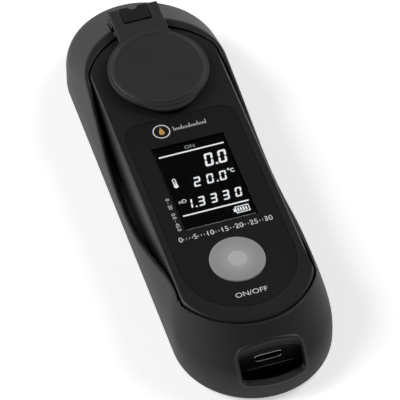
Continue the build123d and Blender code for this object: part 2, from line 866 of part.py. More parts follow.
# Cover: a round cap with a ridge, a thumb lobe, and a strap that ends in two hinge arms
with BuildPart() as prism_cover:
    cover_bottom_z = face_z + cover_lift
    cover_top_z = face_z + cover_top
    ceiling_z = cover_top_z - cover_plate
    with BuildSketch(Plane.XZ.offset(-well_y)):
        with BuildLine():
            Polyline(
                (0, cover_bottom_z),
                (cover_radius, cover_bottom_z),
                (cover_radius, cover_top_z - cover_round),
            )
            RadiusArc(
                (cover_radius, cover_top_z - cover_round),
                (cover_radius - cover_round, cover_top_z),
                -cover_round,
            )
            Polyline(
                (cover_radius - cover_round, cover_top_z),
                (cover_ridge_radius + cover_ridge_width / 2, cover_top_z + cover_ridge_height),
                (cover_ridge_radius - cover_ridge_width / 2, cover_top_z + cover_ridge_height),
                (cover_ridge_radius - cover_ridge_width, cover_top_z),
                (0, cover_top_z),
                (0, cover_bottom_z),
            )
        make_face()
    revolve(axis=Axis((0, well_y, 0), (0, 0, 1)))
    post(
        (0, well_y - lobe_reach + lobe_radius),
        lobe_radius,
        cover_bottom_z,
        cover_bottom_z + lobe_thickness,
    )
    block(
        (-strap_half, well_y + cover_radius / 2, cover_bottom_z),
        (strap_half, hinge_y, face_z + strap_top),
    )
    block((-arm_half, crotch_y, 0), (arm_half, far, far), Mode.SUBTRACT)
    for side in (-1, 1):
        arm_x = side * (strap_half - arm_width / 2)
        with Locations(Location((arm_x, hinge_y, hinge_z), (0, 90, 0))):
            Cylinder(knuckle_radius, arm_width)
            Cylinder(pin_radius + pin_clearance, arm_width, mode=Mode.SUBTRACT)
    post((0, well_y), liner_radius + pin_clearance, 0, ceiling_z, Mode.SUBTRACT)
save(prism_cover, "prism_cover")

# Soft liner under the cap, which closes the well
with BuildPart() as cover_liner:
    post((0, well_y), liner_radius, face_z + well_flange_thickness + liner_gap, ceiling_z)
    fillet(cover_liner.edges().group_by(Axis.Z)[0], liner_gap)
save(cover_liner, "cover_liner")

with BuildPart() as hinge_pin:
    with Locations(Location((0, hinge_y, hinge_z), (0, 90, 0))):
        Cylinder(pin_radius, 2 * strap_half - 2 * arm_gap)
    chamfer(hinge_pin.edges(), pin_radius / 4)
save(hinge_pin, "hinge_pin")
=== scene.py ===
"""Looks of a handheld digital refractometer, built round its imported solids.

Everything is in metres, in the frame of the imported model: X across the instrument, +Y towards
the hinge of its cover, +Z up out of its face. The rounded rubber and plastic pieces are made
from distance fields: a function gives each point's distance to the surface, and field_mesh
turns the zero level into a mesh with smooth normals.
"""

from math import cos, pi, radians, sin, tan

import bpy
import numpy as np
from bpy.props import FloatProperty, FloatVectorProperty, PointerProperty, StringProperty
from mathutils import Matrix, Vector


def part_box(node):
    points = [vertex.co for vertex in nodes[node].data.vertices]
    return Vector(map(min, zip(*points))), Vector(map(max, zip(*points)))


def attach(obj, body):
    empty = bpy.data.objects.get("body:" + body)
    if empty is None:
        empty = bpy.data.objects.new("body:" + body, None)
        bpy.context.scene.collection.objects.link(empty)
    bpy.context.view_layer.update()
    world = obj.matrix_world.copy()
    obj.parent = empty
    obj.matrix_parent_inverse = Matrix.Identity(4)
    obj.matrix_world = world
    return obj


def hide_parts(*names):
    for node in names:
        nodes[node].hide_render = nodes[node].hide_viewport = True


bl_info = {
    "name": "Handheld Refractometer",
    "version": (1, 0, 0),
    "blender": (4, 5, 0),
    "location": "View3D > Sidebar > Refractometer",
    "description": "Rubber boot, cover, key, display and studio of a handheld digital refractometer",
    "category": "Object",
}

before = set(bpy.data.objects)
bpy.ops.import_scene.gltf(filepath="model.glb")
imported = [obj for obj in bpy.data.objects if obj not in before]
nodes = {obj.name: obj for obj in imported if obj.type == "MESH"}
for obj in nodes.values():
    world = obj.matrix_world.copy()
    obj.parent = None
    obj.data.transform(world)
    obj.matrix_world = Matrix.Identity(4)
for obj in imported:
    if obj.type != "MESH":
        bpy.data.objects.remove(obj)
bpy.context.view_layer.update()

BOOT_BODY = "instrument"
COVER_BODY = "cover"
KEY_BODY = "key"


def length(name, description, default):
    """A size in metres, for a property group."""
    return FloatProperty(
        name=name, description=description, default=default, unit="LENGTH", subtype="DISTANCE"
    )


def angle(name, description, degrees):
    """An angle, for a property group."""
    return FloatProperty(
        name=name, description=description, default=radians(degrees), unit="ROTATION", subtype="ANGLE"
    )


def colour(name, description, default):
    """A colour, for a property group."""
    return FloatVectorProperty(
        name=name, description=description, default=default, size=3, min=0, max=1, subtype="COLOR"
    )


def amount(name, description, default):
    """A plain number, for a property group."""
    return FloatProperty(name=name, description=description, default=default, min=0)


def string(name, description, default):
    """Words or digits, for a property group."""
    return StringProperty(name=name, description=description, default=default)


# Sizes and colours that a user would change

boot_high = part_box("rubber_boot")[1]
key_low, key_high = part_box("power_button")
glass_low, glass_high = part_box("display_window")
dish_low, dish_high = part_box("sample_well")
pin_low, pin_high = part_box("hinge_pin")


class BootSettings(bpy.types.PropertyGroup):
    """Sizes of the soft outer boot."""

    half_width: length("Half width", "Half the width at the widest height", boot_high.x)
    face_height: length("Face height", "Height of the rim round the face", 0.0205)
    wall: length("Wall", "Thickness of the side walls", 0.0012)
    roof: length("Roof", "Thickness over the ends", 0.0012)
    floor: length("Floor", "Thickness of the floor", 0.002)
    base_round: length("Base round", "Round between walls and floor", 0.002)
    rim_round: length("Rim round", "Round of the rim's outer edge", 0.0004)
    low_flare: length("Socket end flare", "Rim narrower than the walls there, each side", 0.00255)
    high_flare: length("Hinge end flare", "Rim narrower than the walls there, each side", 0.00175)
    low_bevel: length("Socket end bevel", "Length of the slope beyond the rim", 0.0122)
    high_bevel: length("Hinge end bevel", "Length of the slope beyond the rim", 0.0173)
    low_slope: angle("Socket end slope", "Fall of the bevel at that end", 46)
    high_slope: angle("Hinge end slope", "Fall of the bevel at that end", 28)
    low_blend: length("Socket end blend", "Round between bevel and wall", 0.01)
    high_blend: length("Hinge end blend", "Round between bevel and wall", 0.006)
    side_drop: length("Side drop", "Depth over which the sides fill out", 0.013)
    side_fullness: amount("Side fullness", "How round the sides fill out", 1.6)
    opening_half: length("Opening half width", "Half the width of the face opening", 0.02065)
    opening_low: length("Opening, socket end", "Place of its end", -0.0631)
    opening_high: length("Opening, hinge end", "Place of its end", 0.05565)
    opening_end: length("Opening end radius", "Radius of the ends", 0.0225)
    opening_corner: length("Opening corner", "Round of the corners", 0.0008)
    scoop_low: length("Scoop start", "Socket end of the scoop in each side", -0.042)
    scoop_high: length("Scoop end", "Hinge end of the scoop in each side", 0.04)
    scoop_slope: angle("Scoop slope", "Fall of the scoop's ends", 21)
    scoop_floor: length("Scoop floor radius", "Radius at the deepest place", 0.0525)
    scoop_shoulder: length("Scoop shoulder radius", "Radius where it leaves the rim", 0.022)
    window_half: length("Window half width", "Half the width of the socket window", 0.0095)
    window_top: length("Window top", "How far along the window reaches", -0.0682)
    window_sill: length("Window sill", "Height of its lower edge", 0.0073)
    window_corner: length("Window corner", "Round of its corners", 0.0013)
    bead: length("Bead radius", "Radius of the bead round the window", 0.00048)
    notch_half: length("Notch half width", "Half the width of the strap's notch", 0.00812)
    notch_high: length("Notch end", "How far along the notch reaches", 0.0641)
    notch_floor: length("Notch floor", "Height of the notch's floor", 0.0173)
    pitch: length("Mesh pitch", "Spacing of the mesh", 0.00045)


class CoverSettings(bpy.types.PropertyGroup):
    """Sizes of the cover over the sample well."""

    radius: length("Radius", "Radius of the cap", 0.0154)
    underside: length("Underside", "Height of the lower edge", 0.0217)
    top: length("Top", "Height of the cap's top", 0.0234)
    edge_round: length("Edge round", "Round of the cap's upper edge", 0.0014)
    ridge_radius: length("Ridge radius", "Radius of the ridge on the cap", 0.014)
    ridge_thickness: length("Ridge thickness", "Thickness of the ridge", 0.00075)
    lobe_radius: length("Lobe radius", "Radius of the thumb lobe", 0.011)
    lobe_reach: length("Lobe reach", "How far the lobe reaches from the middle", 0.0169)
    lobe_thickness: length("Lobe thickness", "Thickness of the lobe", 0.001)
    strap_half: length("Strap half width", "Half the width of the strap", 0.0079)
    strap_top: length("Strap top", "Height of the strap's top", 0.0232)
    strap_flare: length("Strap flare", "Fillet between strap and cap", 0.0014)
    arm_width: length("Arm width", "Width of each hinge arm", 0.0033)
    crotch: length("Crotch", "Where the arms part", 0.0565)
    crotch_corner: length("Crotch corner", "Round of the crotch's corners", 0.0009)
    knuckle: length("Knuckle radius", "Radius of the hinge knuckles", 0.0023)
    bore: length("Bore radius", "Radius of the hole for the pin", 0.0008)
    hollow: length("Hollow radius", "Radius of the hollow for the liner", 0.01275)
    ceiling: length("Ceiling", "Height of the hollow's ceiling", 0.0226)
    pitch: length("Mesh pitch", "Spacing of the mesh", 0.00025)


class KeySettings(bpy.types.PropertyGroup):
    """Sizes of the round key."""

    radius: length("Radius", "Radius of the cap", 0.0083)
    edge_round: length("Edge round", "Round of its edge", 0.0004)
    crown: length("Crown", "How far the middle bulges over the edge", 0.00012)
    dimple_radius: length("Dimple radius", "Radius of the disc in the middle", 0.003)
    flange_radius: length("Flange radius", "Radius of the hidden flange", 0.0092)
    flange_thickness: length("Flange thickness", "Thickness of the hidden flange", 0.0008)
    stem_radius: length("Stem radius", "Radius of the hidden stem", 0.0016)


class DisplaySettings(bpy.types.PropertyGroup):
    """What the display shows and what is printed round it."""

    first_reading: string("First row", "Share of sugar", "0.0")
    second_reading: string("Second row", "Temperature", "20.0")
    third_reading: string("Third row", "Refractive index", "1.3330")
    key_label: string("Key label", "Words under the key", "ON/OFF")
    segment_light: colour("Segment light", "Colour of the lit segments", (0.93, 0.95, 0.97))
    print_colour: colour("Print", "Colour of the printed marks", (0.78, 0.78, 0.78))
    accent_colour: colour("Accent", "Colour of the drop in the printed sign", (0.62, 0.36, 0.09))


class FinishSettings(bpy.types.PropertyGroup):
    """Colours of the pieces."""

    boot: colour("Boot", "Soft rubber", (0.0105, 0.0105, 0.011))
    case: colour("Case", "Hard plastic", (0.0079, 0.0079, 0.0083))
    panel: colour("Panel", "Printed film", (0.0056, 0.0056, 0.006))
    cover: colour("Cover", "Moulded cover", (0.0175, 0.0175, 0.018))
    key: colour("Key", "Moulded key", (0.32, 0.32, 0.325))
    steel: colour("Steel", "Bare steel", (0.58, 0.57, 0.55))


class StudioSettings(bpy.types.PropertyGroup):
    """Camera, lamps and floor."""

    azimuth: angle("Azimuth", "Turn of the camera round the instrument", -18.03)
    elevation: angle("Elevation", "Camera's height over the horizon", 50.3)
    distance: length("Distance", "Camera's distance from its target", 1.0294)
    target: FloatVectorProperty(
        name="Target", description="Point that the camera looks at", default=(-0.00345, -0.015, 0.0205),
        size=3, unit="LENGTH", subtype="TRANSLATION",
    )
    focal_length: amount("Lens", "Focal length in mm", 315)
    floor_colour: colour("Floor", "Pale floor", (0.86, 0.86, 0.86))
    horizon_light: amount("Horizon", "Brightness low in the sky", 0.74)
    sky_light: amount("Sky", "Brightness high in the sky", 0.03)
    horizon_low: angle("Horizon's top", "Height where the bright band starts to fade", 16)
    horizon_high: angle("Sky's edge", "Height where the bright band has faded", 34)


# Distance fields

def round_join(a, b, radius):
    """Both fields together, with a fillet in the corner between them."""
    fillet = np.hypot(np.maximum(radius - a, 0), np.maximum(radius - b, 0))
    return np.maximum(radius, np.minimum(a, b)) - fillet


def round_common(a, b, radius):
    """What two fields have in common, with its edge rounded."""
    return -round_join(-a, -b, radius)


def round_cut(a, b, radius):
    """The first field less the second, with the edge rounded."""
    return round_common(a, -b, radius)


def plate(u, v, half_u, half_v, corner=0.0):
    """Distance to a rectangle about the origin, with round corners."""
    du = np.abs(u) - half_u + corner
    dv = np.abs(v) - half_v + corner
    outside = np.hypot(np.maximum(du, 0), np.maximum(dv, 0))
    return outside + np.minimum(np.maximum(du, dv), 0) - corner


def long_outline(x, y, low_end, high_end, low_radius, high_radius):
    """Distance to an outline with a half circle at each end and straight sides."""
    x = np.abs(x)
    y = y - low_end - low_radius
    span = high_end - high_radius - low_end - low_radius
    lean = (low_radius - high_radius) / span
    rise = np.sqrt(1 - lean**2)
    along = rise * y - lean * x
    side = rise * x + lean * y - low_radius
    at_low = np.hypot(x, y) - low_radius
    at_high = np.hypot(x, y - span) - high_radius
    return np.where(along < 0, at_low, np.where(along > rise * span, at_high, side))


def drum(x, y, half, low_end, high_end, radius, corner):
    """Distance to a strip whose ends bulge out with a large radius, with round corners."""
    low = np.hypot(x, y - low_end - radius) - radius
    high = np.hypot(x, y - high_end + radius) - radius
    low = np.where(y < low_end + radius, low, -radius)
    high = np.where(y > high_end - radius, high, -radius)
    return round_common(np.maximum(low, high), np.abs(x) - half, corner)


def field_mesh(name, field, low, high, pitch):
    """Object whose surface is the zero level of a field, with normals from the field."""
    axes = [np.arange(a - 2 * pitch, b + 3 * pitch, pitch) for a, b in zip(low, high)]
    x, y, z = axes[0][:, None, None], axes[1][None, :, None], axes[2][None, None, :]
    values = np.ascontiguousarray(np.broadcast_to(field(x, y, z), [len(a) for a in axes]))
    inside = values < 0
    corners = [(i, j, k) for i in (0, 1) for j in (0, 1) for k in (0, 1)]
    shape = [len(a) - 1 for a in axes]

    def corner_view(grid, corner):
        i, j, k = corner
        return grid[i:i + shape[0], j:j + shape[1], k:k + shape[2]]

    filled = sum(corner_view(inside, c).astype(np.int8) for c in corners)
    cells = np.argwhere((filled > 0) & (filled < 8))
    number = np.full(shape, -1, np.int64)
    number[tuple(cells.T)] = np.arange(len(cells))

    total = np.zeros((len(cells), 3))
    crossings = np.zeros(len(cells))
    for a in corners:
        for axis in range(3):
            if a[axis]:
                continue
            b = tuple(v + (n == axis) for n, v in enumerate(a))
            start = values[tuple((cells + a).T)]
            stop = values[tuple((cells + b).T)]
            crosses = (start < 0) != (stop < 0)
            share = np.where(crosses, start / np.where(crosses, start - stop, 1), 0)
            spot = np.array(a, float) + share[:, None] * np.eye(3)[axis]
            total += np.where(crosses[:, None], spot, 0)
            crossings += crosses
    points = np.array([a[0] for a in axes]) + (cells + total / crossings[:, None]) * pitch

    # The points slide along the field's slope onto the surface, and stay in their own cells
    step, passes, flattest = pitch / 20, 3, 0.1

    def slope_at(spots):
        shifts = [np.eye(3)[n] * step for n in range(3)]
        ahead = [field(*(spots + s).T) for s in shifts]
        behind = [field(*(spots - s).T) for s in shifts]
        return (np.array(ahead) - np.array(behind)).T / (2 * step)

    home = points.copy()
    for _ in range(passes):
        slope = slope_at(points)
        steepness = np.maximum((slope**2).sum(1), flattest)[:, None]
        move = field(*points.T)[:, None] * slope / steepness
        points = points - np.clip(move, -pitch / 2, pitch / 2)
        points = np.clip(points, home - pitch / 2, home + pitch / 2)
    slope = slope_at(points)
    normals = slope / np.linalg.norm(slope, axis=1)[:, None]

    faces = []
    for axis in range(3):
        second, third = (axis + 1) % 3, (axis + 2) % 3
        stops = [slice(1, n) for n in shape]
        stops[axis] = slice(0, shape[axis])
        ahead = list(stops)
        ahead[axis] = slice(1, shape[axis] + 1)
        here, there = inside[tuple(stops)], inside[tuple(ahead)]
        for leaves in (True, False):
            edges = np.argwhere(here & ~there if leaves else ~here & there)
            edges[:, second] += 1
            edges[:, third] += 1
            ring = []
            for back_second, back_third in ((1, 1), (0, 1), (0, 0), (1, 0)):
                cell = edges.copy()
                cell[:, second] -= back_second
                cell[:, third] -= back_third
                ring.append(number[tuple(cell.T)])
            ring = np.stack(ring, 1)
            faces.append(ring if leaves else ring[:, ::-1])
    faces = np.concatenate(faces)

    mesh = bpy.data.meshes.new(name)
    mesh.vertices.add(len(points))
    mesh.vertices.foreach_set("co", points.ravel().astype(np.float32))
    mesh.loops.add(faces.size)
    mesh.loops.foreach_set("vertex_index", faces.ravel().astype(np.int32))
    mesh.polygons.add(len(faces))
    mesh.polygons.foreach_set("loop_start", np.arange(0, faces.size, 4, dtype=np.int32))
    mesh.polygons.foreach_set("use_smooth", np.ones(len(faces), bool))
    mesh.update(calc_edges=True)
    if mesh.validate():
        raise RuntimeError(f"the mesh of {name} had faults")
    mesh.normals_split_custom_set_from_vertices(normals.astype(np.float32))
    return link(name, mesh)


# Mesh helpers

def link(name, mesh):
    """A new object for a mesh, in the scene."""
    piece = bpy.data.objects.new(name, mesh)
    bpy.context.scene.collection.objects.link(piece)
    return piece


def mesh_piece(name, points, faces, smooth=False):
    """A new object from points and faces."""
    mesh = bpy.data.meshes.new(name)
    mesh.from_pydata([tuple(p) for p in points], [], faces)
    mesh.polygons.foreach_set("use_smooth", [smooth] * len(faces))
    mesh.update()
    return link(name, mesh)


def tube_faces(rows, steps, closed=False):
    """Faces between rings of points; a tube that isn't closed on itself gets two ends."""
    faces = []
    for row in range(rows if closed else rows - 1):
        here, ahead = row * steps, (row + 1) % rows * steps
        for step in range(steps):
            beside = (step + 1) % steps
            faces.append((here + step, here + beside, ahead + beside, ahead + step))
    if not closed:
        faces.append(tuple(reversed(range(steps))))
        faces.append(tuple(range((rows - 1) * steps, rows * steps)))
    return faces


def turned_piece(name, profile, centre, steps=128):
    """A round piece from a profile of radius and height, turned round a vertical line."""
    points = []
    for radius, height in profile:
        for step in range(steps):
            turn = 2 * pi * step / steps
            points.append((centre[0] + radius * cos(turn), centre[1] + radius * sin(turn), height))
    return mesh_piece(name, points, tube_faces(len(profile), steps), smooth=True)


def raised_shapes(name, outlines, low, high):
    """Flat shapes of a small height: each outline is a ring of points in X and Y."""
    points, faces = [], []
    for outline in outlines:
        area = sum(a[0] * b[1] - b[0] * a[1] for a, b in zip(outline, outline[1:] + outline[:1]))
        ring = outline if area > 0 else outline[::-1]
        start, count = len(points), len(ring)
        points += [(x, y, low) for x, y in ring] + [(x, y, high) for x, y in ring]
        faces.append(tuple(start + count + n for n in range(count)))
        faces.append(tuple(start + n for n in reversed(range(count))))
        for n in range(count):
            ahead = (n + 1) % count
            faces.append((start + n, start + ahead, start + count + ahead, start + count + n))
    return mesh_piece(name, points, faces)


def lip(name, path, y, radius, closed, sides=12):
    """A round lip of a small radius along a path of X and Z, in an upright plane at one Y."""
    points = []
    count = len(path)
    for n, (x, z) in enumerate(path):
        ahead = path[(n + 1) % count] if closed or n + 1 < count else (x, z)
        behind = path[n - 1] if closed or n else (x, z)
        along = Vector((ahead[0] - behind[0], 0, ahead[1] - behind[1])).normalized()
        outward = along.cross(Vector((0, 1, 0)))
        for side in range(sides):
            turn = 2 * pi * side / sides
            offset = outward * cos(turn) + Vector((0, 1, 0)) * sin(turn)
            points.append(Vector((x, y, z)) + radius * offset)
    return mesh_piece(name, points, tube_faces(count, sides, closed), smooth=True)


def finish_piece(piece, body, material, replaced=()):
    """Gives a piece its material and its place in the model."""
    piece.data.materials.clear()
    piece.data.materials.append(material)
    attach(piece, body)
    if replaced:
        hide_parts(*replaced)


# Materials

class Value:
    """A socket of a material; sums written with it add Math nodes."""

    def __init__(self, finish, socket):
        self.finish = finish
        self.socket = socket

    def combine(self, operation, *terms):
        """A Math node on some terms."""
        return self.finish.node("ShaderNodeMath", {"operation": operation}, dict(enumerate(terms)))

    def __add__(self, other):
        return self.combine("ADD", self, other)

    __radd__ = __add__

    def __sub__(self, other):
        return self.combine("SUBTRACT", self, other)

    def __rsub__(self, other):
        return self.combine("SUBTRACT", other, self)

    def __mul__(self, other):
        return self.combine("MULTIPLY", self, other)

    __rmul__ = __mul__

    def __pow__(self, other):
        return self.combine("POWER", self, other)


class Finish:
    """A material under construction."""

    def __init__(self, name, owner=None):
        self.material = owner or bpy.data.materials.new(name)
        self.material.use_nodes = True
        self.tree = self.material.node_tree
        self.tree.nodes.clear()

    def node(self, kind, settings=None, values=None, output=0):
        """Adds a node with its settings and its sockets' values or links, and gives one output."""
        made = self.tree.nodes.new(kind)
        for key, setting in (settings or {}).items():
            setattr(made, key, setting)
        for key, value in (values or {}).items():
            if isinstance(value, Value):
                self.tree.links.new(value.socket, made.inputs[key])
            elif isinstance(value, (tuple, list)) and made.inputs[key].type == "RGBA":
                made.inputs[key].default_value = (*value[:3], 1)
            else:
                made.inputs[key].default_value = value
        return Value(self, made.outputs[output]) if made.outputs else made

    def place(self, scale=(1, 1, 1), shift=(0, 0, 0)):
        """Place on the object, in metres, scaled and shifted."""
        where = self.node("ShaderNodeTexCoord", output="Object")
        return self.node(
            "ShaderNodeMapping", values={"Vector": where, "Scale": scale, "Location": shift}
        )

    def noise(self, scale, detail=2.0, roughness=0.5, stretch=(1, 1, 1)):
        """Noise from 0 to 1, with about scale spots in a metre."""
        where = self.place(stretch)
        values = {"Vector": where, "Scale": scale, "Detail": detail, "Roughness": roughness}
        return self.node("ShaderNodeTexNoise", values=values)

    def cells(self, scale, feature="F1"):
        """Distance to the nearest of scattered points."""
        values = {"Vector": self.place(), "Scale": scale}
        return self.node("ShaderNodeTexVoronoi", {"feature": feature}, values)

    def away_from(self, centre):
        """Distance from an upright line through a centre, in metres."""
        place = self.place(shift=(-centre[0], -centre[1], 0))
        x, y = (self.node("ShaderNodeSeparateXYZ", values={0: place}, output=axis) for axis in "XY")
        return (x**2 + y**2) ** 0.5

    def ramp(self, factor, low, high):
        """Goes from 0 to 1 as the factor goes from low to high."""
        values = {"Value": factor, "From Min": low, "From Max": high}
        return self.node("ShaderNodeMapRange", {"interpolation_type": "SMOOTHSTEP"}, values)

    def mix(self, factor, first, second):
        """Mixes two colours."""
        values = {0: factor, 6: first, 7: second}
        return self.node("ShaderNodeMix", {"data_type": "RGBA"}, values, output=2)

    def bump(self, height, distance):
        """Normals from a height that goes from 0 to 1, over a distance in metres."""
        values = {"Height": height, "Distance": distance, "Strength": 1.0}
        return self.node("ShaderNodeBump", values=values)

    def surface(self, **values):
        """Adds the shader; a name's underscores stand for spaces."""
        named = {key.replace("_", " "): value for key, value in values.items()}
        return self.node("ShaderNodeBsdfPrincipled", values=named)

    def done(self, shader, output="ShaderNodeOutputMaterial"):
        """Ends the material with a shader."""
        self.node(output, values={"Surface": shader})
        return self.material


def tint(base, share):
    """A colour made lighter or darker."""
    return tuple(min(1, share * c) for c in base)


def rubber(name, base, roughness, grain_scale, grain_depth):
    """Soft black rubber: fine matt grain and faint cloudy wear."""
    finish = Finish(name)
    clouds = finish.noise(scale=90, detail=4, roughness=0.6)
    grain = finish.noise(grain_scale, detail=3, roughness=0.55)
    return finish.done(finish.surface(
        Base_Color=finish.mix(finish.ramp(clouds, 0.3, 0.7), tint(base, 0.95), tint(base, 1.08)),
        Roughness=roughness + 0.03 * (clouds - 0.5) + 0.06 * (grain - 0.5),
        Normal=finish.bump(grain, grain_depth),
        Specular_IOR_Level=0.42,
    ))


def moulded(name, base, roughness, grain_scale, grain_depth, shine=0.5):
    """Hard plastic with a spark-eroded texture."""
    finish = Finish(name)
    grain = finish.noise(grain_scale)
    smears = finish.noise(scale=60, detail=3, roughness=0.6, stretch=(1, 0.4, 1))
    return finish.done(finish.surface(
        Base_Color=finish.mix(finish.ramp(smears, 0.35, 0.7), base, tint(base, 1.1)),
        Roughness=roughness + 0.04 * (smears - 0.5),
        Specular_IOR_Level=shine,
        Normal=finish.bump(grain, grain_depth),
    ))


def steel(name, base, roughness, stretch=(1, 1, 1)):
    """Bare steel with fine lines from its making."""
    finish = Finish(name)
    lines = finish.noise(scale=2500, roughness=0.6, stretch=stretch)
    stains = finish.noise(scale=200, detail=3)
    return finish.done(finish.surface(
        Base_Color=finish.mix(finish.ramp(stains, 0.3, 0.8), base, tint(base, 0.85)),
        Metallic=1.0,
        Roughness=roughness + 0.12 * (lines - 0.5) + 0.08 * (stains - 0.5),
        Normal=finish.bump(lines, distance=0.000004),
    ))


def turned_steel(name, base, centre):
    """Polished steel with the rings that a lathe leaves round a centre."""
    finish = Finish(name)
    radians_per_metre = 45000
    phase = finish.away_from(centre) * radians_per_metre
    rings = phase.combine("SINE", phase)
    stains = finish.noise(scale=250, detail=3)
    return finish.done(finish.surface(
        Base_Color=finish.mix(finish.ramp(stains, 0.3, 0.8), base, tint(base, 0.9)),
        Metallic=1.0,
        Roughness=0.16 + 0.08 * stains,
        Normal=finish.bump(rings * 0.5 + 0.5, distance=0.0000015),
    ))


def clear(name, shade, ior, roughness):
    """Clear glass or plastic, with faint marks of wiping."""
    finish = Finish(name)
    wipes = finish.noise(scale=180, detail=3, roughness=0.6, stretch=(1, 0.3, 1))
    return finish.done(finish.surface(
        Base_Color=shade,
        Roughness=roughness + 0.03 * finish.ramp(wipes, 0.5, 0.8),
        Transmission_Weight=1.0,
        IOR=ior,
    ))


def printed_board(name):
    """Solder mask with faint tracks under it."""
    finish = Finish(name)
    track, mask = (0.03, 0.14, 0.06), (0.008, 0.06, 0.025)
    bare = finish.ramp(finish.cells(scale=700, feature="DISTANCE_TO_EDGE"), 0.05, 0.09)
    return finish.done(finish.surface(
        Base_Color=finish.mix(bare, track, mask),
        Roughness=0.35 + 0.1 * bare,
        Normal=finish.bump(1 - bare, distance=0.00003),
    ))


def key_plastic(name, base, centre, dimple):
    """Grey key with a painted highlight that pales it towards the middle, a still paler disc in the
    middle, and a soft ring round the disc.
    """
    finish = Finish(name)
    radius = finish.away_from(centre)
    # glow is a painted highlight, not light of the key's own: the colour pales towards the middle
    glow = 1 - finish.ramp(radius, dimple * 0.6, dimple * 2.4)
    disc = 1 - finish.ramp(radius, dimple * 0.86, dimple)
    grain = finish.noise(scale=5000)
    return finish.done(finish.surface(
        Base_Color=finish.mix(disc, finish.mix(glow, base, tint(base, 1.3)), tint(base, 1.6)),
        Roughness=0.42 + 0.06 * grain,
        Normal=finish.bump(grain, distance=0.000004),
    ))


def lit(name, shade):
    """Light that comes through the open segments of the display."""
    finish = Finish(name)
    flicker = finish.ramp(finish.noise(scale=900, detail=1), 0, 1)
    return finish.done(finish.surface(
        Base_Color=(0.02, 0.02, 0.02),
        Roughness=0.4,
        Emission_Color=finish.mix(flicker, tint(shade, 0.94), shade),
        Emission_Strength=1.0,
    ))


def ink(name, shade):
    """Printed ink, slightly uneven."""
    finish = Finish(name)
    spots = finish.noise(scale=3000)
    light = finish.mix(finish.ramp(spots, 0.2, 0.8), tint(shade, 0.9), shade)
    return finish.done(finish.surface(Base_Color=light, Roughness=0.5 + 0.1 * spots))


def soft(name, base, roughness, scale, depth):
    """Foam, silicone or tape."""
    finish = Finish(name)
    pores = finish.cells(scale)
    return finish.done(finish.surface(
        Base_Color=finish.mix(finish.ramp(pores, 0.1, 0.8), tint(base, 0.75), base),
        Roughness=roughness + 0.1 * pores,
        Normal=finish.bump(pores, depth),
    ))


# Operators

class BuildStep(bpy.types.Operator):
    """A step that makes part of the refractometer's looks."""

    bl_idname = "refractometer.step"
    bl_label = "Build step"
    bl_options = {"REGISTER", "UNDO"}


